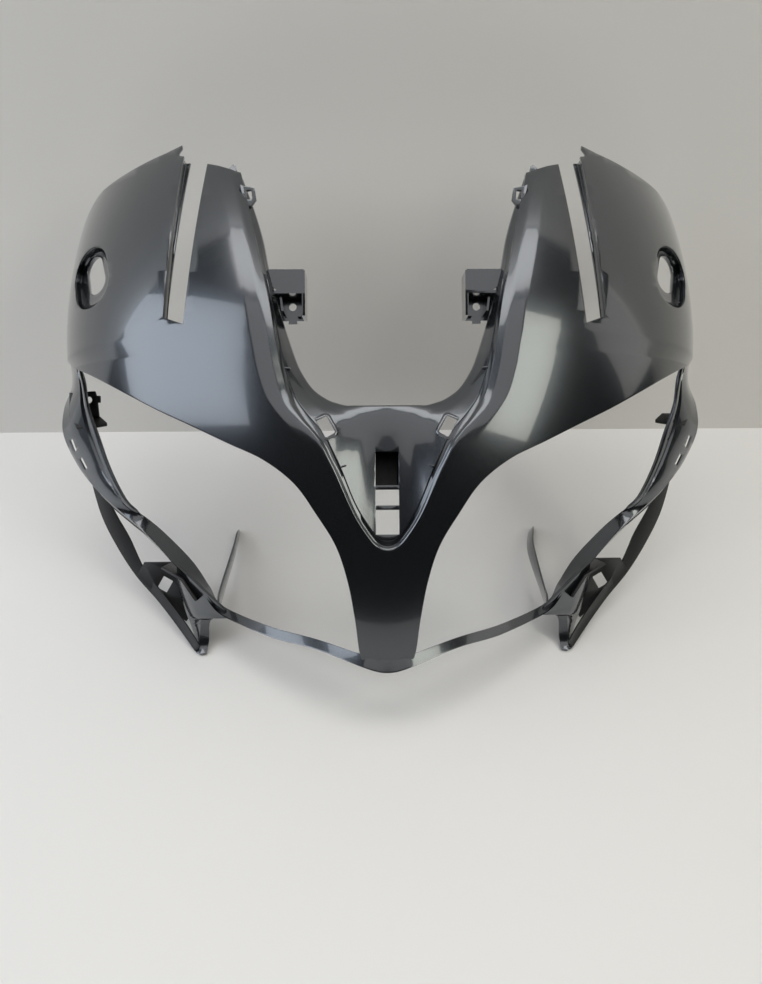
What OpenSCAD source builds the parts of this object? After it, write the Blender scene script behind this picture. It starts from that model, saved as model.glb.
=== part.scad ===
// Upper front fairing of a touring motorcycle, moulded in one piece.
// It is drawn on a plane that leans back, the face plane: x runs across, w up the face and
// n out of it, towards whoever looks at the motorcycle. Z = 0 is the table it stands on.

/* [Whole fairing] */
// Width over the widest point of the side bands
fairing_w = 708; // [600:1:800]
// Wall thickness of the moulding
wall = 2.8; // [2:0.1:4]
// Lean of the face plane back from the vertical, in degrees
rake = 40; // [35:1:45]

/* [Outer skin] */
// Half width that the skin would have if it wrapped round to a right angle
side_a = 358; // [340:1:380]
// Height on the face of the widest section
side_w = 365; // [340:1:380]
// Radius of the side in front view, below the widest section
side_r = 450; // [300:10:600]
// Radius of the side in front view, above it
upper_r = 800; // [500:10:1200]
// Depth of a section from its crown to its widest point
side_d = 240; // [200:1:280]
// Height of the crown above the face plane
crown_n = 170; // [155:1:185]
// Height on the face of the crown
crown_w = 270; // [250:1:290]
// Radius of the crown line in side view
crown_r = 555; // [500:5:700]
// Height on the face of the wing tips
tip_w = 517; // [500:1:530]
// Drop of the rounded shoulder beside the recess
shoulder_drop = 8; // [0:0.5:14]
// Width of that rounded shoulder
shoulder_w = 26; // [10:1:40]
// Depth of the lip round the headlight openings
lip_depth = 9; // [4:0.5:14]

/* [Centre recess] */
// Depth of the groove beside the raised ridge
groove = 4; // [2:0.5:8]
// Height on the face of the lower point of the recess
recess_low_w = 131; // [124:1:140]
// Height on the face of the cockpit edge
cockpit_w = 258; // [250:1:266]
// Width of the slot down the middle of the recess
vent_w = 21; // [14:1:26]
// Height on the face of the lower end of that slot
vent_low_w = 142; // [140:1:160]
// Height on the face of its upper end
vent_high_w = 216; // [200:1:230]
// Width of the cross bar in that slot
vent_bar = 4; // [2.6:0.1:8]
// Length of the two screen clip slots
clip_slot_l = 17; // [10:1:22]
// Width of the two screen clip slots
clip_slot_w = 10; // [6:0.5:12]
// Height of the rim round those slots
clip_rim = 1.6; // [0.5:0.1:3]

/* [Wing openings] */
// Length of the long slot in each wing
slot_l = 166; // [120:1:175]
// Width of that slot at its top
slot_top_w = 21; // [12:1:26]
// Width of that slot at its foot
slot_foot_w = 18; // [12:1:24]
// Distance from the middle plane to the foot of the slot
slot_x = 191; // [180:1:200]
// Lean of the slot, in degrees
slot_lean = 3; // [0:0.5:6]
// Depth of the lip on the outer side of the slot
slot_lip = 12; // [6:1:20]
// Height of the oval opening
oval_h = 44; // [30:1:50]
// Width of the oval opening
oval_w = 25; // [14:1:30]
// Distance from the middle plane to the oval opening
oval_x = 295; // [285:1:300]
// Height on the face of the oval opening
oval_up = 403; // [390:1:410]
// Width of the sunk rim round the oval opening
oval_rim = 13; // [4:0.5:15]
// Depth of that rim under the skin
oval_depth = 9; // [5:0.5:14]

/* [Side bands] */
// Length of the clip slots near the outer edge of each side band
band_slot_l = 13; // [8:0.5:18]
// Width of those slots
band_slot_w = 4; // [2:0.5:6]

/* [Fixings] */
// Bore of the screw holes in the brackets
screw_bore = 7.2; // [5:0.1:9]
// Distance between the holes of the two cockpit brackets
cockpit_hole_gap = 174; // [166:1:182]
// Height on the face of those holes
cockpit_hole_w = 354; // [345:1:362]
// Thickness of the bracket plates
plate_t = 3; // [2:0.1:5]
// Distance from the middle plane to the hole in the left side bracket
side_hole_x = 321; // [310:1:328]
// Height on the face of that hole
side_hole_w = 280; // [270:1:288]
// Height on the face of the oval hole in each lower plate
lower_hole_w = 95; // [88:1:97]
// Width of that oval hole
lower_hole_l = 8; // [5:0.5:12]
// Height of that oval hole
lower_hole_h = 5; // [3:0.5:8]
// Length of the clip hole in each lower plate
clip_hole_l = 15; // [8:1:16]
// Width of that hole
clip_hole_w = 12; // [8:1:13]

/* [Feet] */
// Distance between the tips of the two pods it stands on
pod_gap = 396; // [360:1:420]
// Thickness of the two stays behind the pods
stay_t = 2.8; // [2:0.1:5]
// Distance from the pod tips back to the ends of the stays
stay_back = 191; // [150:1:210]

/* [Hidden] */

paint = [0.2, 0.21, 0.23];
steps = 2;          // points of a curve between two of its control points
across = 7;         // strips of the skin from the ridge to its outer edge
screw_sides = 40;
lean = 90 - rake;
table_z = 4;        // height of the pod tips, where the face plane starts
middle_y = 127.1;   // from the start of the face plane back to the middle of the depth

// Curves.

function lerp(a, b, t) = a + (b - a) * t;
function unit(v) = v / max(norm(v), 1e-6);

// A smooth curve through control points, whatever number of coordinates they have.
function spline(p, n = steps) = [for (i = [0:len(p) - 2], j = [0:n - 1])
    let (t = j / n, a = p[max(i - 1, 0)], b = p[i], c = p[i + 1], d = p[min(i + 2, len(p) - 1)])
    ((2 * b) + t * (c - a) + t * t * (2 * a - 5 * b + 4 * c - d)
        + t * t * t * (3 * b - a - 3 * c + d)) / 2,
    p[len(p) - 1]];

// The skin: an ellipse across, whose size follows two arcs up the face.

function half_width(w) = side_a - pow(w - side_w, 2) / (2 * (w < side_w ? side_r : upper_r));
function crown(w) = crown_n - pow(w - crown_w, 2) / (2 * crown_r);
function angle_of(p) = [asin(min(1, p[0] / half_width(p[1]))), p[1]];
function on_skin(q, depth = 0) = [
    (half_width(q[1]) - depth) * sin(q[0]),
    q[1],
    crown(q[1]) - side_d + (side_d - depth) * cos(q[0])];
function lift(p, depth = 0) = on_skin(angle_of(p), depth);

// The ridge round the recess, from the top of the wing to the lower point.
ridge_side = [[147, 545], [136, 486], [126, 447], [118, 413], [111, 382], [104, 352], [99, 324]];
ridge_low = [[96, 306], [92, 286], [85, 263], [74, 246], [64, 234], [56, 223], [50, 211], [44, 199],
    [38, 185], [31, 168], [25, 156], [18, 145], [11, 136], [5, recess_low_w + 1], [0, recess_low_w]];

// The outer edge of the skin, matched point by point with the ridge.
wing_side = [[332, 545], [341, 490], [346, 458], [349, 425], [351, 393], [350, 359], [346, 322]];
light_edge = [[322, 309], [289, 295], [252, 277], [212, 257], [175, 240], [141, 224], [109, 209],
    [82, 188], [63, 161], [46, 132], [36, 99], [30, 63], [25, 25], [14, 15], [0, 11]];

ridge_rows = concat(spline(ridge_side), spline(ridge_low));
edge_rows = concat(spline(wing_side), spline(light_edge));

// The cockpit edge and the inner edge of the wing, matched with the ridge. Third value: height n.
rim_side = [[147, 545, 60], [137, 486, 98], [121, 442, 113], [112, 412, 119], [106, 382, 123], [97, 347, 125],
    [90, 324, 126]];
rim_low = [[84, 306, 129], [78, 291, 131], [67, 274, 133], [54, 264, 135], [44, 260, 136],
    for (x = [36, 30, 25, 20, 15, 11, 7, 4, 2, 0]) [x, cockpit_w, 137]];
rim_rows = concat(spline(rim_side), spline(rim_low));

// Narrow strips by the ridge, for its rounded shoulder, then even ones.
strips = [0, 0.03, 0.07, for (i = [1:across]) i / across];
inner_strips = [1, 0.7, 0.4, 0.12];

function shoulder(d) = shoulder_drop * pow(max(0, 1 - d / shoulder_w), 2);
function skin_point(q, start) = let (p = on_skin(q))
    p - [0, 0, shoulder(norm(p - start))];
function half_row(k) = let (
        a = angle_of(ridge_rows[k]), b = angle_of(edge_rows[k]), start = on_skin(a),
        ridge = start - [0, 0, shoulder_drop],
        foot = ridge - [0, 0, groove],
        edge = on_skin(b))
    concat(
        [for (t = inner_strips) lerp(foot, rim_rows[k], t)],
        [foot],
        [for (t = strips) skin_point(lerp(a, b, t), start)],
        [edge - [0, 0, lip_depth]]);
half_grid = [for (k = [0:len(ridge_rows) - 1]) half_row(k)];

// Solids from curves.

// A closed solid between two grids of points of the same size.
module plate(f, b) {
    rows = len(f);
    n = len(f[0]);
    m = rows * n;
    polyhedron(concat([for (r = f) each r], [for (r = b) each r]), [
        for (j = [0:rows - 2], i = [0:n - 2]) let (p = j * n + i) each [
            [p, p + 1, p + n + 1], [p, p + n + 1, p + n],
            [m + p, m + p + n + 1, m + p + 1], [m + p, m + p + n, m + p + n + 1]],
        for (j = [0:rows - 2]) let (p = j * n, q = j * n + n - 1) each [
            [p, p + n, m + p], [m + p, p + n, m + p + n],
            [q, m + q, q + n], [m + q, m + q + n, q + n]],
        for (i = [0:n - 2]) let (q = (rows - 1) * n + i) each [
            [i, m + i, i + 1], [i + 1, m + i, m + i + 1],
            [q, q + 1, m + q], [q + 1, m + q + 1, m + q]]]);
}

// The sum of the directions into and out of a point; it is short at a sharp corner.
function turn(before, p, after) = unit(p - before) + unit(after - p);
function moved(g, j, i, t) = let (
        rows = len(g), n = len(g[0]), p = g[j][i],
        up = turn(g[max(j - 1, 0)][i], p, g[min(j + 1, rows - 1)][i]),
        on = turn(g[j][max(i - 1, 0)], p, g[j][min(i + 1, n - 1)]),
        corner = i == 0 || i == n - 1 ? 1 : max(norm(on) / 2, 0.55),
        d = unit(cross(on, up)) * t / corner)
    p + (p[0] == 0 ? [0, d[1], d[2]] : d);
function under(g, t) = [for (j = [0:len(g) - 1]) [for (i = [0:len(g[0]) - 1]) moved(g, j, i, t)]];

// A plate of even thickness whose face is a grid of points.
module sheet(g, t = wall) {
    plate(g, under(g, t));
}

// A grid from rows of control points, smooth from row to row.
function loft(rows, n = steps) = let (cols = [for (i = [0:len(rows[0]) - 1]) spline([for (r = rows) r[i]], n)])
    [for (j = [0:len(cols[0]) - 1]) [for (c = cols) c[j]]];

// A point of the face plane from its place over the table.
function at(x, y, z) = let (h = z + table_z)
    [x, y * sin(rake) + h * cos(rake), h * sin(rake) - y * cos(rake)];

// A bar of the face plane, from one corner to the other.
module block(a, b) {
    translate([min(a[0], b[0]), min(a[1], b[1]), min(a[2], b[2])])
        cube([abs(a[0] - b[0]), abs(a[1] - b[1]), abs(a[2] - b[2])]);
}

module both() {
    children();
    mirror([1, 0, 0]) children();
}

// Pieces of the moulding, each drawn for one half.

// From the wing's lower corner down the side, inward under the headlight and along the chin.
// Each row: the edge of the headlight opening, the crest, and the turned-back edge.
side_rows = [
    [[325, 330, 22], [346, 342, -16], [346, 342, -22]],
    [[315, 297, 25], [342, 300, -18], [342, 300, -25]],
    [[312, 268, 18], [353, 271, -22], [353, 269, -29]],
    [[303, 238, 14], [354, 243, -22], [354, 240, -29]],
    [[293, 208, 14], [338, 209, -20], [338, 205, -27]],
    [[280, 181, 16], [312, 182, -5], [311, 177, -12]],
    [[270, 165, 15], [292, 166, 4], [291, 160, -2]],
    [[256, 153, 7], [261, 143, 14], [262, 138, 7]],
    [[236, 135, 4], [246, 129, 18], [246, 124, 11]],
    [[208, 105, 2], [221, 103, 22], [221, 99, 14]],
    [[188, 78, 8], [193, 78, 25], [193, 73, 17]],
    [[172, 59, 20], [170, 52, 32], [170, 49, 23]],
    [[118, 44, 58], [118, 34, 64], [118, 31, 55]],
    [[69, 36, 90], [69, 26, 95], [69, 23, 86]],
    [[25, 27, 112], [25, 15, 115], [25, 12, 105]],
    [[0, 24, 114], [0, 9, 117], [0, 7, 107]]];
module side_band() {
    difference() {
        sheet(loft(side_rows));
        for (p = [[340, 231, 19], [328, 211, 29]])
            translate([p[0], p[1], -60]) rotate(-p[2])
                linear_extrude(120) square([band_slot_w, band_slot_l], center = true);
    }
}

// The lower edge behind the side band, down to the pod.
rear_rows = [
    [[332, 222, -24], [318, 228, -8]],
    [[323, 183, -24], [308, 182, -14]],
    [[315, 149, -30], [298, 155, -20]],
    [[300, 115, -35], [285, 128, -26]],
    [[279, 84, -32], [270, 94, -28]],
    [[251, 57, -20], [244, 64, -20]],
    [[227, 30, -10], [220, 37, -9]],
    [[206, 6, -6], [200, 12, -2]]];
module rear_band() {
    sheet(loft(rear_rows));
}

// The plate between the rear band and the crest, with its two holes.
module lower_plate() {
    top_w = lower_hole_w + 6;
    translate([0, 0, -28]) linear_extrude(plate_t)
        polygon([[276, 86], [268, top_w], [238, top_w], [218, 88], [208, 56], [222, 34], [251, 60]]);
    sheet([[[238, top_w, -26], [238, top_w - 1, 12]], [[218, 88, -26], [214, 88, 20]],
        [[208, 56, -26], [198, 66, 24]]]);
}

// The horn that the fairing stands on: a hollow shell that narrows to its tip.
pod_rows = [
    [[222, 104, 14], [206, 90, 24], [168, 56, 30]],
    [[224, 74, -2], [206, 70, 15], [168, 50, 27]],
    [[217, 43, -10], [199, 46, 12], [168, 46, 22]],
    [[215, 38, -11], [198, 41, 9], [187, 42, 10]],
    [[210, 19, -13], [201, 17, 2], [191, 18, 1]],
    [[205, 5, -12], [199, 2, -4], [193, 4, -6]]];
module pod() {
    translate([pod_gap / 2 - 198, 0, 0]) sheet(loft(pod_rows));
}

// A thin leg that runs back from the pod to the table.
module stay() {
    end = stay_back;
    rows = [
        [at(174, 12, 46), at(174, 10, 30)],
        [at(177, 32, 44), at(177, 30, 28)],
        [at(184, 0.4 * end, 34), at(184, 0.39 * end, 19)],
        [at(188, 0.7 * end, 20), at(188, 0.69 * end, 7)],
        [at(190, 0.93 * end, 11), at(190, 0.93 * end, 0)],
        [at(190, end, 4), at(190, end, -1)]];
    sheet(loft(rows), stay_t);
}

// Where the inner edge of the wing is at a height on the face: its distance from the middle and its n.
function rim_x(w) = lookup(w, [for (p = rim_side) [p[1], p[0]]]);
function rim_n(w) = lookup(w, [for (p = rim_side) [p[1], p[2]]]);

// The box beside the cockpit edge. Its lower half is open in front, with a screw hole in the floor.
module cockpit_bracket() {
    x = cockpit_hole_gap / 2;
    w = cockpit_hole_w;
    top_w = w + 29;
    open_w = w + 12;
    foot_w = w - 13;
    face_n = rim_n(w) - 0.2;
    floor_n = face_n - 26.5;
    inner_x = x - 13.5;
    outer_x = rim_x(top_w) + 6;
    block([inner_x, foot_w, floor_n], [outer_x, open_w, floor_n + plate_t]);
    block([inner_x, open_w - wall, floor_n], [outer_x, open_w, face_n]);
    block([inner_x, open_w - wall, face_n - wall], [outer_x, top_w, face_n]);
    block([inner_x, top_w - wall, floor_n], [outer_x, top_w, face_n]);
    block([inner_x, foot_w, floor_n], [inner_x + wall, top_w, face_n]);
    block([x - 4, foot_w - 3, floor_n], [x + 4, foot_w + 1, floor_n + plate_t]);
}

// The sloping ledge inside each side band.
module side_ledge() {
    w = side_hole_w;
    sheet([[[300, w - 25, -5], [299, w - 27, -2]], [[310, w - 17.5, -12], [311, w - 29.5, 2]],
        [[342, w - 17.5, -13], [330, w - 31, 3]]]);
}

// The plate above the ledge. Only the left band has it.
module side_plate() {
    x = side_hole_x;
    w = side_hole_w;
    translate([0, 0, -12]) linear_extrude(plate_t)
        polygon([[342, w - 19], [342, w + 8], [x - 7, w + 9.5], [x - 8.5, w + 4.5], [x - 12.5, w + 4.5],
            [x - 12.5, w - 3], [x - 9.5, w - 3], [x - 11, w - 18]]);
}

// The tab on the inner edge of the wing, with its square hole.
module wing_tab() {
    translate([0, 0, 116]) difference() {
        block([113, 438, 0], [126, 457, plate_t]);
        block([117, 443, -1], [122, 452, plate_t + 1]);
    }
}

// Openings, as tools drawn on the face plane.

module slot_tool(extra = 0) {
    foot_w = 331;
    translate([slot_x, foot_w]) rotate(slot_lean)
        polygon([
            [-slot_foot_w / 2 - extra, 2 - extra],
            [slot_foot_w / 2 + extra, 6 - extra],
            [slot_top_w / 2 + extra, slot_l + 60],
            [-slot_top_w / 2 - extra, slot_l + 60]]);
}

// An oval with round ends, about its middle.
module oval(width, height) {
    straight = height - width;
    square([width, straight], center = true);
    for (s = [-1, 1])
        translate([0, s * straight / 2]) circle(d = width, $fn = 20);
}

module oval_tool(extra = 0) {
    translate([oval_x, oval_up]) rotate(-22) oval(oval_w + 2 * extra, oval_h + 2 * extra);
}

// The sunk rim round the oval opening reaches a little lower than the opening.
module pocket_tool(extra = 0) {
    translate([1, -6]) oval_tool(oval_rim + extra);
}

// What is above the top edges of the wing. Its outer end lies far back.
module top_tool() {
    t = tip_w;
    polygon([[100, t - 43], [138, t - 38], [slot_x - 23.5, t - 28], [slot_x - 2, t - 21],
        [slot_x - 1, t - 17], [slot_x + 4, t], [213, t - 3], [231, t - 6], [264, t - 12],
        [296, t - 17], [306, t - 21], [313, t - 27], [320, t - 33], [330, t - 46], [342, t - 64],
        [370, t - 90], [370, 700], [100, 700]]);
}

module clip_hole() {
    translate([245, lower_hole_w - 19]) rotate(30) square([clip_hole_w, clip_hole_l], center = true);
}

module oval_hole() {
    translate([241, lower_hole_w]) rotate(90) oval(lower_hole_h, lower_hole_l);
}

module clip_slot(extra = 0) {
    translate([54, 238]) rotate(-28)
        square([clip_slot_w + 2 * extra, clip_slot_l + 2 * extra], center = true);
}

module middle_slot() {
    difference() {
        translate([-vent_w / 2, vent_low_w]) square([vent_w, vent_high_w - vent_low_w]);
        for (w = [vent_low_w + 22, vent_low_w + 40])
            translate([-vent_w, w]) square([2 * vent_w, vent_bar]);
    }
}

module through(low = -60) {
    translate([0, 0, low]) linear_extrude(400) children();
}

// Thicker skin round the openings. Cutting them leaves a wall behind the oval and beside the
// slot, and a raised rim round the clip slot.
module opening_walls() {
    intersection() {
        through() clip_slot(1.8);
        plate(under(half_grid, -clip_rim), under(half_grid, wall / 2));
    }
    intersection() {
        through() pocket_tool(wall);
        plate(under(half_grid, wall / 2), under(half_grid, oval_depth + wall));
    }
    intersection() {
        through() intersection() {
            slot_tool(wall);
            translate([slot_x, 300]) square([60, 300]);
        }
        plate(under(half_grid, wall / 2), under(half_grid, slot_lip));
    }
}

// The floor of the sunk rim, with the oval opening in it.
module pocket_floor() {
    difference() {
        intersection() {
            through() pocket_tool(wall / 2);
            plate(under(half_grid, oval_depth), under(half_grid, oval_depth + 0.8 * wall));
        }
        through() oval_tool();
    }
}

module half() {
    difference() {
        union() {
            sheet(half_grid);
            opening_walls();
        }
        through() pocket_tool();
        through() slot_tool();
        through(-160) top_tool();
        through() clip_slot();
    }
    pocket_floor();
    side_band();
    difference() {
        union() {
            rear_band();
            lower_plate();
        }
        through() clip_hole();
        through() oval_hole();
    }
    pod();
    stay();
    cockpit_bracket();
    side_ledge();
    wing_tab();
}

module screw_hole(x, w, n) {
    translate([x, w, n]) cylinder(d = screw_bore, h = 3 * plate_t, center = true, $fn = screw_sides);
}

module fairing() {
    translate([0, -middle_y, -table_z]) difference() {
        resize([fairing_w, 0, 0]) difference() {
            rotate([lean, 0, 0]) difference() {
                union() {
                    both() half();
                    mirror([1, 0, 0]) side_plate();
                }
                through() middle_slot();
            }
            translate([-fairing_w, -100, table_z - 100]) cube([2 * fairing_w, 700, 100]);
        }
        rotate([lean, 0, 0]) {
            for (s = [-1, 1])
                screw_hole(s * cockpit_hole_gap / 2, cockpit_hole_w, rim_n(cockpit_hole_w) - 25);
            screw_hole(-side_hole_x, side_hole_w, -11);
        }
    }
}

color(paint) fairing();
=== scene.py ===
import math

import bpy
from mathutils import Euler, Matrix, Vector


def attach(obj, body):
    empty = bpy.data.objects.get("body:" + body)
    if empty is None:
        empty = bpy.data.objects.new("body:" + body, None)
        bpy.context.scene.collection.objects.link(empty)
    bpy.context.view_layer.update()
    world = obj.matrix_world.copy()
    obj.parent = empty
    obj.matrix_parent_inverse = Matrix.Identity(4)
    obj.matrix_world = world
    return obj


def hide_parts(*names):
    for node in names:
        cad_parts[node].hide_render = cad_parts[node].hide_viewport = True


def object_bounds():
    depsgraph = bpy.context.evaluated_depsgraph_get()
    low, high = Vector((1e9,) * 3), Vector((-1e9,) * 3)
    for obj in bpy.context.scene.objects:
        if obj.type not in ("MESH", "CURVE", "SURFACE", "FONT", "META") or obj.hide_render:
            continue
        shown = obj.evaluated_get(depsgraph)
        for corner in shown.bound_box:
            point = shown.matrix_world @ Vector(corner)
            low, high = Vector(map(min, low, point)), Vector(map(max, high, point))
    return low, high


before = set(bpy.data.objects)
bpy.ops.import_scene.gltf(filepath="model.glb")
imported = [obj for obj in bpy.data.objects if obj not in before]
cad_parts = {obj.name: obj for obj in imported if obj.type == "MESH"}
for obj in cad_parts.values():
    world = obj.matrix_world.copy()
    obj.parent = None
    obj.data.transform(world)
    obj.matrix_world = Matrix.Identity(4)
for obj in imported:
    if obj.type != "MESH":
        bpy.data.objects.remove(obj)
cad_low, cad_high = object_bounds()
MOULDING = "fairing"

# The fairing is drawn on its face plane, in millimetres: x across, w up the face and n out of it.
# The face plane leans back, and row() takes a point of it to the row frame, in metres.
RAKE = math.radians(40)
TABLE_Z = 4.0
MIDDLE_Y = 127.1
WALL = 2.8
MM = 0.001


def row(x, w, n):
    """A point of the face plane, in the row frame."""
    y = w * math.sin(RAKE) - n * math.cos(RAKE) - MIDDLE_Y
    z = w * math.cos(RAKE) + n * math.sin(RAKE) - TABLE_Z
    return Vector((x, y, z)) * MM


def row_direction(x, w, n):
    """A direction of the face plane, in the row frame."""
    return (row(x, w, n) - row(0, 0, 0)).normalized()


# Curves.


def lerp(a, b, t):
    return a + (b - a) * t


def spline(points, steps):
    """A smooth curve through control points with any number of coordinates."""
    out = []
    for i in range(len(points) - 1):
        a = points[max(i - 1, 0)]
        b, c = points[i], points[i + 1]
        d = points[min(i + 2, len(points) - 1)]
        for j in range(steps):
            t = j / steps
            out.append([
                (2 * q + t * (r - p) + t * t * (2 * p - 5 * q + 4 * r - s)
                 + t ** 3 * (3 * q - p - 3 * r + s)) / 2
                for p, q, r, s in zip(a, b, c, d)])
    out.append(list(points[-1]))
    return out


def loft(rows, steps):
    """Rows of control points made smooth from row to row."""
    columns = [spline([r[i] for r in rows], steps) for i in range(len(rows[0]))]
    return [[c[j] for c in columns] for j in range(len(columns[0]))]


# The skin.

SIDE_A = 358.0
SIDE_W = 365.0
SIDE_R = 450.0
UPPER_R = 800.0
SIDE_D = 240.0
CROWN_N = 170.0
CROWN_W = 270.0
CROWN_R = 555.0
SHOULDER_DROP = 8.0
BEVEL_SLOPE, BEVEL_KNEE, BEVEL_TAIL = 0.62, 8.0, 12.0
STEM_ROLL, STEM_ROLL_WIDTH = 2.5, 4.0
STEM_TOP_W, STEM_FADE = 215.0, 60.0
GROOVE = 4.0
LIP_DEPTH = 9.0


def half_width(w):
    return SIDE_A - (w - SIDE_W) ** 2 / (2 * (SIDE_R if w < SIDE_W else UPPER_R))


def crown(w):
    return CROWN_N - (w - CROWN_W) ** 2 / (2 * CROWN_R)


def angle_of(x, w, depth=0.0):
    return math.asin(min(1.0, x / (half_width(w) - depth)))


def on_skin(angle, w, depth=0.0):
    return Vector(((half_width(w) - depth) * math.sin(angle), w,
                   crown(w) - SIDE_D + (SIDE_D - depth) * math.cos(angle)))


def under_skin(x, w, depth):
    """The point a depth under the skin, over a place of the face plane."""
    return on_skin(angle_of(x, w, depth), w, depth)


RIDGE_SIDE = [(139.2, 499), (136, 486), (126, 447), (118, 413), (111, 382), (104, 352), (99, 324)]
RIDGE_LOW = [(96, 306), (92, 286), (85, 263), (74, 246), (64, 234), (56, 223), (50, 211), (44, 199),
             (38, 185), (31, 168), (25, 156), (18, 145), (11, 136), (5, 132), (0, 131)]
WING_SIDE = [(312, 600), (341, 490), (346, 458), (349, 425), (351, 393), (350, 359), (346, 322)]
LIGHT_EDGE = [(322, 309), (289, 295), (252, 277), (212, 257), (175, 240), (141, 224), (109, 209),
              (82, 188), (63, 161), (46, 132), (36, 99), (30, 63), (25, 25), (14, 15), (0, 11)]
RIM_SIDE = [(139.2, 499, 89), (137, 486, 98), (121, 442, 113), (112, 412, 119), (106, 382, 123),
            (97, 347, 125), (90, 324, 126)]
RIM_LOW = [(84, 306, 129), (78, 291, 131), (67, 274, 133), (54, 264, 135), (44, 260, 136),
           (36, 258, 137), (30, 258, 137), (25, 258, 137), (20, 258, 137), (15, 258, 137),
           (11, 258, 137), (7, 258, 137), (4, 258, 137), (2, 258, 137), (0, 258, 137)]

STEPS = 6
SHOULDER_LINE = [0, 0.5, 1.2, 2, 3, 5, 7, 8.5, 11, 14, 17, 19, 20.5, 23, 27]
SKIN_STRIPS = 26
GROOVE_LINE = [0.6, 4.4, 5.2, 6.2]
PANEL_STRIPS = 9
PANEL_RISE = 1.6
PANEL_START = 4.6


def smooth(t):
    t = min(max(t, 0.0), 1.0)
    return t * t * (3 - 2 * t)


def shoulder(distance, w):
    """The drop beside the ridge: two bevels on the wing, only a tight roll on the stem."""
    roll = STEM_ROLL * max(0.0, 1 - distance / STEM_ROLL_WIDTH) ** 2
    bevel = SHOULDER_DROP - BEVEL_SLOPE * min(distance, BEVEL_KNEE)
    if distance > BEVEL_KNEE:
        bevel *= max(0.0, 1 - (distance - BEVEL_KNEE) / BEVEL_TAIL)
    return roll + (bevel - roll) * smooth((w - STEM_TOP_W) / STEM_FADE)


def panel_rise(distance, length):
    """How far the panel of the recess stands over a straight line from the ridge to the rim."""
    return PANEL_RISE * smooth((distance - PANEL_START) / 1.4) * smooth((length - distance) / 12)


def panel_line(foot, rim):
    """From the cockpit edge over the raised panel of the recess to its groove."""
    length = (rim - foot).length
    across = (rim - foot) / length
    up = Vector((0, 0, 1))
    line = [rim - up * 5, rim - up * 1.6, rim - up * 0.4 - across * 0.8]
    low, high = GROOVE_LINE[-1] + 0.4, length - 1.6
    if high > low:
        step = (high - low) / PANEL_STRIPS
        places = [high - step * i for i in range(PANEL_STRIPS + 1)]
    else:
        places = [high * (1 - i / (PANEL_STRIPS + 1)) for i in range(PANEL_STRIPS + 1)]
    places += [min(d, 0.9 * places[-1] * d / GROOVE_LINE[-1]) for d in reversed(GROOVE_LINE)]
    return line + [foot + across * d + up * panel_rise(d, high) for d in places]


def skin_grid():
    """Rows from the cockpit edge, over the recess, its groove and its ridge, to the outer edge."""
    ridge = spline(RIDGE_SIDE, STEPS) + spline(RIDGE_LOW, STEPS)
    outer = spline(WING_SIDE, STEPS) + spline(LIGHT_EDGE, STEPS)
    rim = spline(RIM_SIDE, STEPS) + spline(RIM_LOW, STEPS)
    grid = []
    for (rx, rw), (ox, ow), rim_point in zip(ridge, outer, rim):
        start, end = (angle_of(rx, rw), rw), (angle_of(ox, ow), ow)
        top = on_skin(*start)
        ridge_point = top - Vector((0, 0, SHOULDER_DROP))
        foot = ridge_point - Vector((0, 0, GROOVE))
        line = panel_line(foot, Vector(rim_point))
        line += [foot.copy(), foot + Vector((0, 0, GROOVE * 0.6))]
        length = (on_skin(*end) - top).length
        strips = [d / length for d in SHOULDER_LINE]
        first = strips[-1]
        strips += [first + (1 - first) * i / SKIN_STRIPS for i in range(1, SKIN_STRIPS + 1)]
        for t in strips:
            p = on_skin(lerp(start[0], end[0], t), lerp(start[1], end[1], t))
            line.append(p - Vector((0, 0, shoulder((p - top).length, p[1]))))
        edge = line[-1]
        line += [edge - Vector((0, 0, 1.2)), edge - Vector((0, 0, LIP_DEPTH / 2)),
                 edge - Vector((0, 0, LIP_DEPTH))]
        grid.append(line)
    return grid


# Mesh helpers.


def nothing_selected():
    bpy.ops.object.select_all(action="DESELECT")


def make_active(obj):
    nothing_selected()
    obj.select_set(True)
    bpy.context.view_layer.objects.active = obj


def apply_modifier(obj, kind, **settings):
    make_active(obj)
    modifier = obj.modifiers.new(kind.title(), kind)
    for key, value in settings.items():
        setattr(modifier, key, value)
    bpy.ops.object.modifier_apply(modifier=modifier.name)


def in_edit(obj, *steps):
    make_active(obj)
    bpy.ops.object.mode_set(mode="EDIT")
    bpy.ops.mesh.select_all(action="SELECT")
    for step in steps:
        step()
    bpy.ops.object.mode_set(mode="OBJECT")


def panel(name, grid):
    """A grid primitive whose points are set on the rows of a surface."""
    rows, cols = len(grid), len(grid[0])
    nothing_selected()
    bpy.ops.mesh.primitive_grid_add(x_subdivisions=cols - 1, y_subdivisions=rows - 1, size=1)
    obj = bpy.context.object
    obj.name = name
    for j in range(rows):
        for i in range(cols):
            obj.data.vertices[j * cols + i].co = row(*grid[j][i])
    return obj


def both_sides(obj):
    apply_modifier(obj, "MIRROR", use_axis=(True, False, False), use_mirror_merge=True,
                   merge_threshold=0.0002)


def outward(obj, direction):
    """Turns a sheet so that most of its faces look along a direction."""
    total = Vector()
    for face in obj.data.polygons:
        total += face.normal * face.area
    if total.dot(direction) < 0:
        in_edit(obj, bpy.ops.mesh.flip_normals)


def thicken(obj, thickness=WALL):
    apply_modifier(obj, "SOLIDIFY", thickness=thickness * MM, offset=-1.0, use_even_offset=True,
                   use_quality_normals=True)


def soften(obj, width=0.6, angle=50):
    apply_modifier(obj, "BEVEL", width=width * MM, segments=2, limit_method="ANGLE",
                   angle_limit=math.radians(angle), harden_normals=False)


def smooth_shaded(obj, angle=35):
    make_active(obj)
    bpy.ops.object.shade_smooth_by_angle(angle=math.radians(angle))


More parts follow.
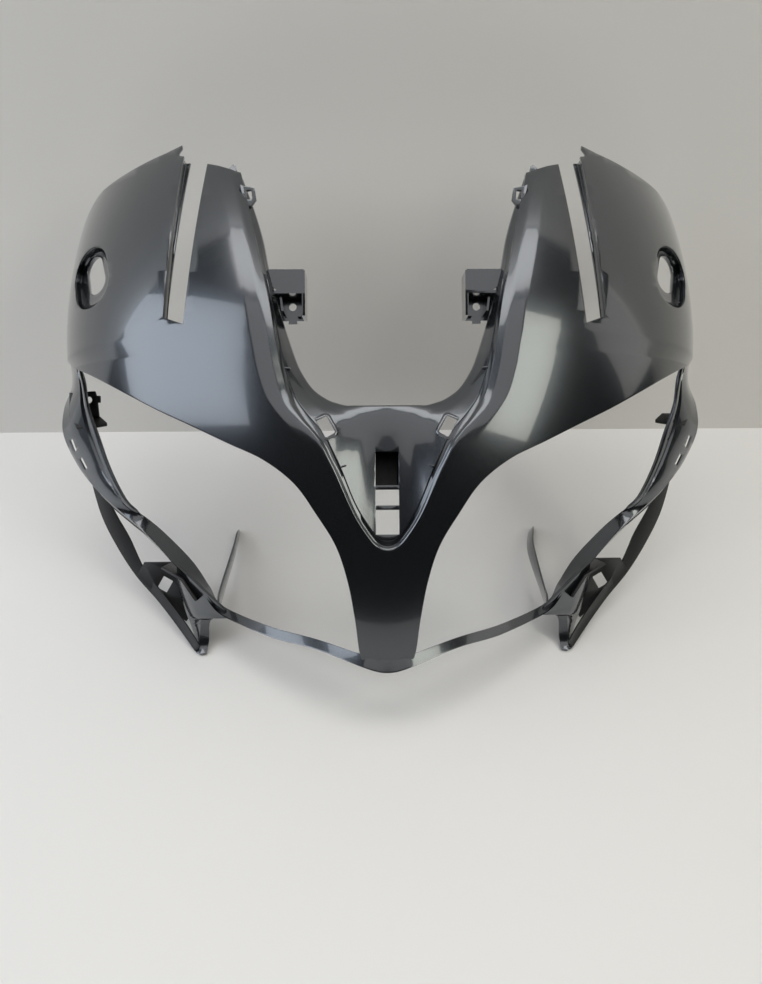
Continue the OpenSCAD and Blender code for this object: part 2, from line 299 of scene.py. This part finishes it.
FACE_OUT = row_direction(0, 0, 1)


def sheet(name, grid, thickness=WALL, facing=None, mirrored=True):
    obj = panel(name, grid)
    if mirrored:
        both_sides(obj)
    outward(obj, facing or FACE_OUT)
    thicken(obj, thickness)
    return obj


def prism(name, outline, low=-80.0, high=260.0):
    """A cutter: an outline of the face plane, drawn out along its normal."""
    nothing_selected()
    bpy.ops.mesh.primitive_circle_add(vertices=len(outline), radius=1, fill_type="NGON")
    obj = bpy.context.object
    obj.name = name
    for vertex, (x, w) in zip(obj.data.vertices, outline):
        vertex.co = row(x, w, low)
    move = row(0, 0, high) - row(0, 0, low)
    in_edit(obj, lambda: bpy.ops.mesh.extrude_region_move(TRANSFORM_OT_translate={"value": move}),
            lambda: bpy.ops.mesh.select_all(action="SELECT"),
            lambda: bpy.ops.mesh.normals_make_consistent(inside=False))
    return obj


def cut(obj, cutter, operation="DIFFERENCE"):
    apply_modifier(obj, "BOOLEAN", object=cutter, operation=operation, solver="MANIFOLD")
    bpy.data.objects.remove(cutter, do_unlink=True)


def flipped(outline):
    return [(-x, w) for x, w in reversed(outline)]


# Openings.


def turned(points, centre, degrees):
    """Points drawn about the origin, turned and moved to a centre."""
    cos, sin = math.cos(math.radians(degrees)), math.sin(math.radians(degrees))
    return [(centre[0] + x * cos - y * sin, centre[1] + x * sin + y * cos) for x, y in points]


def rounded(width, height, radius, segments=8):
    """The outline of a rounded rectangle about its centre."""
    points = []
    for k, (sx, sy) in enumerate([(1, 1), (-1, 1), (-1, -1), (1, -1)]):
        for i in range(segments + 1):
            a = math.radians(90 * k + 90 * i / segments)
            points.append((sx * (width / 2 - radius) + radius * math.cos(a),
                           sy * (height / 2 - radius) + radius * math.sin(a)))
    return points


SLOT_FOOT = (192, 331)
SLOT_LEAN = 5.5


def slot_outline():
    """The slot in the skin; on its outer side it is wider than the gap one sees through."""
    return turned([(-9, 2), (12.5, 8), (17.5, 173), (18, 226), (-10.5, 226)], SLOT_FOOT, SLOT_LEAN)


def rounded_at(x, w, width, height, radius):
    return turned(rounded(width, height, radius, 3), (x, w), 0)


def oval(x, w, width, height, turn):
    return turned(rounded(width, height, 0.49 * width, 9), (x, w), turn)


TOP_OUTLINE = [(100, 474), (138, 479), (165, 489), (180, 493), (184, 498), (187, 502), (197, 505.5),
               (199.5, 508), (198.5, 511), (196, 515), (196.5, 518.5), (213, 514), (231, 511),
               (264, 505), (296, 500), (306, 496), (313, 490), (320, 484), (330, 471), (342, 453),
               (370, 427), (370, 700), (100, 700)]


CLIP_SLOT = (54, 238)
CLIP_SLOT_TURN = -28


def clip_slot_outline(extra=0.0, segments=3):
    shape = rounded(10 + 2 * extra, 17 + 2 * extra, 1.5 + extra, segments)
    return turned(shape, CLIP_SLOT, CLIP_SLOT_TURN)


def middle_slot_outlines():
    return [[(-10.5, low), (10.5, low), (10.5, high), (-10.5, high)]
            for low, high in ((142, 164), (168, 182), (186, 216))]


# Pieces.


def skin():
    obj = sheet("outer_skin", skin_grid())
    pocket = oval(296, 396, 52, 67, -16)
    for outline in (TOP_OUTLINE, slot_outline(), pocket, clip_slot_outline()):
        cut(obj, prism("cutter", outline, -160))
        cut(obj, prism("cutter", flipped(outline), -160))
    for outline in middle_slot_outlines():
        cut(obj, prism("cutter", outline))
    return obj


def closed_sheet(name, rings, thickness):
    """A sheet of closed rings, one inside the other."""
    obj = panel(name, [ring + ring[:1] for ring in rings])
    in_edit(obj, lambda: bpy.ops.mesh.remove_doubles(threshold=0.00002))
    both_sides(obj)
    outward(obj, FACE_OUT)
    thicken(obj, thickness)
    return obj


# Centre x and w, width, height, turn and depth.
POCKET_RINGS = [
    (296, 396, 53, 68, -16, 1.1), (296, 396, 51.2, 66.4, -16, 1.9), (296, 396.5, 50, 65, -16, 4),
    (296, 397.5, 47.5, 62, -17, 6.6), (295.5, 399, 43, 57, -18, 8.2),
    (295.3, 401, 34, 50, -19, 8.9), (295, 402, 27, 45, -20, 9.1), (295, 402, 25.6, 43.8, -20, 9.6),
    (295, 402, 25, 43, -20, 11), (295, 402, 25, 43, -20, 13)]


def oval_pocket():
    """The sunk rim of the oval opening: a rolled edge, a wall, a floor and a turned-down lip."""
    rings = [[under_skin(x, w, depth) for x, w in oval(*place)] for *place, depth in POCKET_RINGS]
    return closed_sheet("oval_pocket", rings, 1.8)


def slot_lip():
    """The rolled edge and the flange on the outer side of the long slot."""
    rows = []
    for i in range(25):
        y = 5 + 165 * i / 24
        gap = 9 + 1.5 * (y - 6) / 220
        edge = gap + 3.5 + 5 * (y - 6) / 165
        line = [(edge + 1.2, 1.2), (edge + 0.2, 1.5), (edge - 0.5, 2.6), (edge - 0.9, 5),
                (edge - 1, 10.4), (edge - 1.6, 11.2), (gap + 3.4, 11.6), (gap + 3.1, 12.4),
                (gap + 3.1, 14)]
        places = turned([(x, y) for x, _ in line], SLOT_FOOT, SLOT_LEAN)
        rows.append([under_skin(x, w, depth) for (x, w), (_, depth) in zip(places, line)])
    return sheet("slot_lip", rows, 1.8)


def points_near(x, w, reach, last):
    """The points of the recess near a place, from the rim to a column of the grid."""
    points = [p for line in skin_grid() for p in line[3:last]]
    return [p for p in points if math.hypot(p[0] - x, p[1] - w) < reach]


def surface_n(points, x, w, reach=14.0):
    """The height of a surface over a place, from the points of it near by."""
    total = height = 0.0
    for p in points:
        away = math.hypot(p[0] - x, p[1] - w)
        if away < reach:
            share = (1 - away / reach) ** 2 / (away + 0.5)
            total += share
            height += share * p[2]
    return height / total


def clip_slot_rim():
    """The raised ring round the screen clip slot."""
    near = points_near(*CLIP_SLOT, 30, PANEL_STRIPS + 3)
    rings = []
    for extra, rise in ((3.4, -0.6), (3.0, 1.2), (2.4, 1.7), (0.5, 1.7), (0, 1.2), (0, -2.5)):
        outline = clip_slot_outline(extra, 4)
        rings.append([Vector((x, w, surface_n(near, x, w) + rise)) for x, w in outline])
    return closed_sheet("clip_slot_rim", rings, 1.0)


# Inner edge, outer edge and turned-down lip, from the wing down to the middle of the chin.
SIDE_ROWS = [
    [(325, 330, 22), (346, 342, -16), (346, 342, -22)],
    [(315, 297, 25), (342, 300, -18), (342, 300, -25)],
    [(312, 268, 18), (353, 271, -22), (353, 269, -29)],
    [(303, 238, 14), (354, 243, -22), (354, 240, -29)],
    [(293, 208, 14), (338, 209, -20), (338, 205, -27)],
    [(280, 181, 16), (312, 182, -5), (311, 177, -12)],
    [(270, 165, 15), (292, 166, 4), (291, 160, -2)],
    [(256, 153, 7), (261, 143, 14), (262, 138, 7)],
    [(236, 135, 4), (246, 129, 18), (246, 124, 11)],
    [(208, 105, 2), (221, 103, 22), (221, 99, 14)],
    [(188, 78, 8), (193, 78, 25), (193, 73, 17)],
    [(172, 59, 20), (170, 52, 32), (170, 49, 23)],
    [(118, 44.7, 59), (118, 35.5, 64), (118, 32.5, 55)],
    [(69, 38, 90), (69, 29.3, 95), (69, 26.3, 86)],
    [(25, 28, 112), (25, 16.8, 115), (25, 13.8, 105)],
    [(9, 24.6, 114), (9, 12, 117), (9, 9.5, 107)],
    [(0, 24, 114), (0, 11, 117), (0, 8.6, 107)]]
# Across the band, and out of it in millimetres.
BAND_PROFILE = [(0, 0), (0.06, 0.5), (0.1, 0.3), (0.13, -2.2), (0.24, -2.4), (0.27, 0), (0.31, 0.4),
                (0.45, 1.2), (0.6, 1.6), (0.75, 1.2), (0.9, 0.4)]
BAND_SLOTS = ((340, 231, -19), (328, 211, -29))


def side_band():
    """The band from the wing's lower corner down to the chin, with a groove near its inner edge."""
    grid = []
    for a, b, c in loft(SIDE_ROWS, 8):
        a, b, c = Vector(a), Vector(b), Vector(c)
        out = (b - a).cross(Vector((0, 1, 0))).normalized() * smooth((a[1] - 150) / 60)
        out *= smooth((320 - a[1]) / 25)
        if out[2] < 0:
            out.negate()
        across = [a.lerp(b, t) + out * rise for t, rise in BAND_PROFILE]
        grid.append(across + [b, b.lerp(c, 0.3), c])
    obj = sheet("side_band", grid)
    for x, w, turn in BAND_SLOTS:
        outline = turned(rounded(4.6, 13.5, 1, 3), (x, w), turn)
        cut(obj, prism("cutter", outline))
        cut(obj, prism("cutter", flipped(outline)))
    return obj


# Outer and inner edge.
REAR_ROWS = [
    [(332, 222, -24), (318, 228, -8)],
    [(323, 183, -24), (308, 182, -14)],
    [(315, 149, -30), (298, 155, -20)],
    [(300, 115, -35), (285, 128, -26)],
    [(279, 84, -32), (270, 94, -28)],
    [(251, 57, -20), (244, 64, -20)],
    [(227, 30, -10), (220, 37, -9)],
    [(206, 7, 3), (200, 12, 3.5)]]


def rear_band():
    return sheet("rear_band", loft(REAR_ROWS, 6))


# Outer edge, crest and inner edge.
POD_ROWS = [
    [(222, 104, 14), (206, 90, 24), (168, 56, 30)],
    [(224, 74, -2), (206, 70, 15), (168, 50, 27)],
    [(217, 43, -10), (199, 46, 12), (168, 46, 22)],
    [(215, 38, -11), (198, 41, 9), (187, 42, 10)],
    [(210, 19, -13), (201, 17, 2), (191, 18, 1)],
    [(205, 6, 3), (199, 4, 6), (193, 5, 5)]]


def pod():
    return sheet("pod", loft(POD_ROWS, 5))


STAY_BACK = 191


def at(x, y, z):
    """A point of the face plane from its place over the table."""
    h = z + TABLE_Z
    return (x, y * math.sin(RAKE) + h * math.cos(RAKE), h * math.sin(RAKE) - y * math.cos(RAKE))


def stay(side, bend, tip, twist):
    """A thin, flexible leg from the pod back to the table. bend and tip are how far out it is."""
    end = STAY_BACK
    turn_out = 0.35 * (tip - bend)
    rows = [[at(177, 27, 44), at(177, 25, 33)], [at(180, 42, 43), at(180, 40, 28)],
            [at(182, 0.36 * end, 34), at(182, 0.35 * end, 19)],
            [at(bend, 0.74 * end, 20), at(bend - twist, 0.73 * end, 7)],
            [at(tip - turn_out, 0.93 * end, 11), at(tip - turn_out - twist, 0.93 * end, 0.6)],
            [at(tip, end, 4), at(tip - 0.4 * twist, end, 0.2)]]
    grid = [[(side * x, w, n) for x, w, n in line] for line in loft(rows, 5)]
    return sheet("stay", grid, 2.4, facing=Vector((1, 0, 0)), mirrored=False)


def lower_plate():
    outline = [(276, 86), (268, 101), (238, 101), (218, 88), (208, 56), (222, 34), (251, 60)]
    obj = prism("lower_plate", outline, -28, -25)
    cut(obj, prism("cutter", turned(rounded(12, 15, 1, 3), (245, 76), 30)))
    cut(obj, prism("cutter", turned(rounded(8, 5, 2.4, 6), (241, 95), 0)))
    both_sides(obj)
    return obj


def lower_wall():
    """The wall that joins the lower plate to the crest."""
    grid = [[(238, 101, -26), (238, 100, 12)], [(218, 88, -26), (214, 88, 20)],
            [(208, 56, -26), (198, 66, 24)]]
    return sheet("lower_wall", grid, facing=Vector((1, 0, 0)))


def plate_block(name, a, b):
    """A flat wall of the face plane, from one corner to the other."""
    (x0, w0, n0), (x1, w1, n1) = a, b
    outline = [(x0, w0), (x1, w0), (x1, w1), (x0, w1)]
    return prism(name, outline, n0, n1)


BRACKET_HOLE = (87, 354)
SIDE_HOLE = (-321, 280)
SCREW_R = 3.6
SCREW_SIDES = 32


def cockpit_bracket():
    """A box, open in front below, with a slanted corner and a screw hole in its floor."""
    x, w = BRACKET_HOLE
    floor_n, face_n, plate = 98, 124.5, 3
    inner, outer, top, opening, foot = x - 13.5, x + 26, w + 29, w + 10, w - 13
    walls = [plate_block("cockpit_bracket", (inner, foot, floor_n),
                         (outer, opening, floor_n + plate)),
             plate_block("mid_wall", (inner, opening - WALL, floor_n), (outer, opening, face_n)),
             prism("face", [(inner + 2, top), (inner, top - 2), (inner, opening - WALL),
                            (x + 9, opening - WALL), (outer - 2, top - 9), (outer, top)],
                   face_n - WALL, face_n),
             plate_block("top_wall", (inner + 1, top - WALL, floor_n), (outer, top, face_n - 0.3)),
             plate_block("inner_wall", (inner, foot, floor_n),
                         (inner + WALL, top - 1, face_n - 0.2)),
             plate_block("tongue", (x - 4, foot - 3, floor_n), (x + 4, foot + 1, floor_n + plate)),
             plate_block("foot_lip", (inner + 5, foot + 3, floor_n),
                         (x - 5, foot + 5, floor_n + 9)),
             prism("rib", [(x + 9, opening), (x + 11, opening), (x + 9, foot + 6),
                           (x + 7, foot + 6)], floor_n, face_n - 8)]
    for other in walls[1:]:
        cut(walls[0], other, "UNION")
    both_sides(walls[0])
    return walls[0]


def tick_ribs():
    """Four short ribs across the groove of the recess."""
    ribs = []
    for x, w, turn in ((88, 290, 4), (39, 203, -18)):
        n = surface_n(points_near(x, w, 14, PANEL_STRIPS + 9), x, w)
        outline = turned(rounded(6, 1.6, 0.5, 3), (x, w), turn)
        ribs.append(prism("tick_rib", outline, n - 3, n + 2.6))
    cut(ribs[0], ribs[1], "UNION")
    both_sides(ribs[0])
    return ribs[0]


def latch_pocket():
    """The box behind the upper window of the middle slot, closed at its back."""
    box = prism("latch_pocket", rounded_at(0, 201, 24, 35, 2), 108, 134)
    cut(box, prism("cutter", rounded_at(0, 201, 20.4, 30.4, 1), 110.5, 140))
    return box


def side_ledge():
    rows = [[(300, 255, -5), (299, 253, -2)], [(310, 262.5, -12), (311, 250.5, 2)],
            [(342, 262.5, -13), (330, 249, 3)]]
    return sheet("side_ledge", rows)


def side_plate():
    """The plate with a screw hole above the left ledge."""
    outline = [(342, 261), (342, 288), (314, 289.5), (312.5, 284.5), (308.5, 284.5), (308.5, 277),
               (311.5, 277), (310, 262)]
    return prism("side_plate", flipped(outline), -12, -9)


def wing_tab():
    """The tab on the wing's inner edge, with an oblong hole, and the nub above it."""
    obj = prism("wing_tab", [(133, 463), (130.5, 461.5), (119.5, 459.5), (118, 448.5),
                             (122.5, 442.5), (128, 441)], 114, 117)
    cut(obj, prism("cutter", turned(rounded(5, 8, 1, 3), (124.6, 453), -6), 100, 130))
    nub = prism("nub", [(146, 484), (142, 488), (139.5, 486.5), (138, 480), (133, 462), (128, 441),
                        (136, 441)], 97, 100)
    both_sides(obj)
    both_sides(nub)
    cut(obj, nub, "UNION")
    return obj


def screw_hole(obj, x, w):
    angles = [math.tau * i / SCREW_SIDES for i in range(SCREW_SIDES)]
    ring = [(x + SCREW_R * math.cos(a), w + SCREW_R * math.sin(a)) for a in angles]
    cut(obj, prism("cutter", ring, -60, 140))


# The inner pieces show the black plastic itself.
UNPAINTED = ("rear_band", "lower_plate", "lower_wall", "latch_pocket", "side_ledge", "side_plate")


def moulding():
    bracket = cockpit_bracket()
    x, w = BRACKET_HOLE
    screw_hole(bracket, x, w)
    screw_hole(bracket, -x, w)
    plate = side_plate()
    screw_hole(plate, *SIDE_HOLE)
    pieces = [skin(), oval_pocket(), slot_lip(), clip_slot_rim(), side_band(), rear_band(), pod(),
              stay(-1, 180, 181, 0), stay(1, 186, 197, 5), wing_tab(), bracket, tick_ribs(),
              latch_pocket(), side_ledge(), plate, lower_plate(), lower_wall()]
    pattern = noise_range()
    finish, bare = paint(pattern), bare_plastic(pattern)
    for piece in pieces:
        soften(piece)
        piece.data.materials.clear()
        piece.data.materials.append(bare if piece.name in UNPAINTED else finish)
    nothing_selected()
    for piece in pieces:
        piece.select_set(True)
    bpy.context.view_layer.objects.active = pieces[0]
    bpy.ops.object.join()
    obj = pieces[0]
    obj.name = "fairing_moulding"
    fit_width(obj)
    smooth_shaded(obj)
    return obj


def fit_width(obj):
    """The overall width is the driving size, as in the solid."""
    widest = max(abs(v.co.x) for v in obj.data.vertices)
    factor = cad_high[0] / widest
    for vertex in obj.data.vertices:
        vertex.co.x *= factor


# Materials.


def noise_range():
    """A shader group: noise moved from one range to another. Smudges, grain and dust use it."""
    group = bpy.data.node_groups.new("noise_range", "ShaderNodeTree")
    group.interface.new_socket("Vector", in_out="INPUT", socket_type="NodeSocketVector")
    pattern = ("Scale", "Detail", "Roughness")
    limits = ("From Min", "From Max", "To Min", "To Max")
    for name in pattern + limits:
        group.interface.new_socket(name, in_out="INPUT", socket_type="NodeSocketFloat")
    group.interface.new_socket("Value", in_out="OUTPUT", socket_type="NodeSocketFloat")
    nodes, links = group.nodes, group.links
    given = nodes.new("NodeGroupInput").outputs
    noise = nodes.new("ShaderNodeTexNoise")
    spread = nodes.new("ShaderNodeMapRange")
    for name in ("Vector",) + pattern:
        links.new(given[name], noise.inputs[name])
    for name in limits:
        links.new(given[name], spread.inputs[name])
    links.new(noise.outputs["Fac"], spread.inputs["Value"])
    links.new(spread.outputs["Result"], nodes.new("NodeGroupOutput").inputs["Value"])
    return group


def patterned(material, group, socket, pattern, source, result):
    """Drives a socket of the material's shader with the noise group, in Object coordinates."""
    nodes, links = material.node_tree.nodes, material.node_tree.links
    place = nodes.get("Texture Coordinate") or nodes.new("ShaderNodeTexCoord")
    node = nodes.new("ShaderNodeGroup")
    node.node_tree = group
    names = ("Scale", "Detail", "Roughness", "From Min", "From Max", "To Min", "To Max")
    for name, number in zip(names, (*pattern, *source, *result)):
        node.inputs[name].default_value = number
    links.new(place.outputs["Object"], node.inputs["Vector"])
    links.new(node.outputs["Value"], nodes["Principled BSDF"].inputs[socket])


def paint(group):
    """Dark grey metallic paint under a clear coat, with smudges, grain and a few specks of dust."""
    material = plain("dark_grey_metallic_paint", (0.078, 0.085, 0.095))
    shader = material.node_tree.nodes["Principled BSDF"]
    shader.inputs["Metallic"].default_value = 0.9
    shader.inputs["Coat Weight"].default_value = 1.0
    patterned(material, group, "Coat Roughness", (9, 4, 0.6), (0.42, 0.72), (0.035, 0.12))
    patterned(material, group, "Roughness", (900, 2, 0.5), (0.3, 0.7), (0.19, 0.27))
    patterned(material, group, "Sheen Weight", (210, 3, 0.6), (0.74, 0.78), (0, 0.5))
    return material


def bare_plastic(group):
    material = plain("black_plastic", (0.012, 0.012, 0.013))
    patterned(material, group, "Roughness", (600, 2, 0.5), (0.3, 0.7), (0.42, 0.58))
    return material


def plain(name, colour, roughness=0.5):
    material = bpy.data.materials.new(name)
    material.use_nodes = True
    shader = material.node_tree.nodes["Principled BSDF"]
    shader.inputs["Base Color"].default_value = (*colour, 1)
    shader.inputs["Roughness"].default_value = roughness
    return material


def open_from_behind(material):
    """Lets a view from behind look through the back of the wall."""
    nodes, links = material.node_tree.nodes, material.node_tree.links
    mix = nodes.new("ShaderNodeMixShader")
    links.new(nodes.new("ShaderNodeNewGeometry").outputs["Backfacing"], mix.inputs["Fac"])
    links.new(nodes["Principled BSDF"].outputs["BSDF"], mix.inputs[1])
    links.new(nodes.new("ShaderNodeBsdfTransparent").outputs["BSDF"], mix.inputs[2])
    links.new(mix.outputs["Shader"], nodes["Material Output"].inputs["Surface"])
    return material


# Stage.


TABLE_FRONT_Y = -0.75
TABLE_WIDTH = 5
TABLE_BEHIND_WALL = 0.3
WALL_Y = 0.28
WALL_SIZE = 6


def stage():
    nothing_selected()
    depth = WALL_Y + TABLE_BEHIND_WALL - TABLE_FRONT_Y
    bpy.ops.mesh.primitive_plane_add(size=1, location=(0, TABLE_FRONT_Y + depth / 2, 0))
    floor = bpy.context.object
    floor.name = "table"
    bpy.ops.transform.resize(value=(TABLE_WIDTH, depth, 1))
    bpy.ops.object.transform_apply(location=True, rotation=True, scale=True)
    floor.data.materials.append(plain("table_top", (0.8, 0.79, 0.78), 0.4))
    bpy.ops.mesh.primitive_plane_add(size=WALL_SIZE, location=(0, WALL_Y, 0),
                                     rotation=(math.radians(90), 0, 0))
    wall = bpy.context.object
    wall.name = "wall"
    wall.data.materials.append(open_from_behind(plain("wall_paint", (0.8, 0.78, 0.75), 0.9)))


def light_panel(name, target, toward, edge, distance, size, radiance, colour):
    """A rectangular light. toward is where it is from its target, edge the way its height runs."""
    z_axis = Vector(toward).normalized()
    y_axis = (Vector(edge) - z_axis * z_axis.dot(Vector(edge))).normalized()
    x_axis = y_axis.cross(z_axis)
    data = bpy.data.lights.new(name, "AREA")
    data.shape = "RECTANGLE"
    data.size, data.size_y = size
    data.energy = radiance * math.pi * size[0] * size[1]
    data.color = colour
    obj = bpy.data.objects.new(name, data)
    bpy.context.collection.objects.link(obj)
    matrix = Matrix((x_axis, y_axis, z_axis)).transposed().to_4x4()
    matrix.translation = Vector(target) + z_axis * distance
    obj.matrix_world = matrix
    return obj


UNDER_CEILING = (0, 0, 0.25)
LEFT_WING, RIGHT_WING = (-0.2, 0.09, 0.36), (0.2, 0.09, 0.36)
WINDOW_DISTANCE = 2.2
# Name, target, toward, edge, distance, size, radiance and colour.
PANELS = [
    ("ceiling", UNDER_CEILING, (0, -0.05, 1), (0, 1, 0), 2.3,
     (3.4, 0.72), 3.3, (1.0, 0.985, 0.96)),
    ("front_ceiling", UNDER_CEILING, (0, -0.5, 0.87), (0, 1, 0), 2.5,
     (2.6, 1.3), 0.9, (1.0, 0.99, 0.97)),
    ("left_window", LEFT_WING, (-0.86, -0.297, 0.424), (-0.402, -0.778, -0.484), WINDOW_DISTANCE,
     (1.92, 1.39), 3.0, (0.86, 0.92, 1.0)),
    ("right_window", RIGHT_WING, (0.613, -0.546, 0.575), (-0.095, 0.946, 0.309), WINDOW_DISTANCE,
     (0.66, 1.34), 4.2, (1.0, 1.0, 0.88)),
    ("right_side", RIGHT_WING, (0.95, 0.05, 0.3), (0, 0, 1), WINDOW_DISTANCE,
     (1.1, 1.2), 0.9, (1.0, 0.97, 0.9))]


def lights():
    for panel_settings in PANELS:
        light_panel(*panel_settings)
    world = bpy.data.worlds.new("room")
    bpy.context.scene.world = world
    world.use_nodes = True
    background = world.node_tree.nodes["Background"]
    background.inputs["Color"].default_value = (0.5, 0.5, 0.52, 1)
    background.inputs["Strength"].default_value = 0.02


# Camera.

CAMERA_TURN = (math.radians(1.0), math.radians(1.08), math.radians(0.44))
CAMERA_PIVOT = Vector((0, 177, 60))
CAMERA_FROM_PIVOT = Vector((-4.1, 178.6, 800.7))
FOCAL_PX = 738.0
PHOTO_HEIGHT_PX = 984.0
SENSOR_MM = 36.0


def camera():
    turn = Euler(CAMERA_TURN, "XYZ").to_matrix().transposed()
    eye = turn @ (CAMERA_FROM_PIVOT - CAMERA_PIVOT) + CAMERA_PIVOT
    axes = [row_direction(*(turn @ Vector(axis))) for axis in ((1, 0, 0), (0, 1, 0), (0, 0, 1))]
    data = bpy.data.cameras.new("camera")
    data.sensor_width = SENSOR_MM
    data.lens = FOCAL_PX / PHOTO_HEIGHT_PX * SENSOR_MM
    obj = bpy.data.objects.new("camera", data)
    bpy.context.collection.objects.link(obj)
    matrix = Matrix(axes).transposed().to_4x4()
    matrix.translation = row(*eye)
    obj.matrix_world = matrix
    bpy.context.scene.camera = obj


bpy.context.scene.view_settings.view_transform = "Standard"
fairing = moulding()
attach(fairing, "root")
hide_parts(MOULDING)
stage()
lights()
camera()
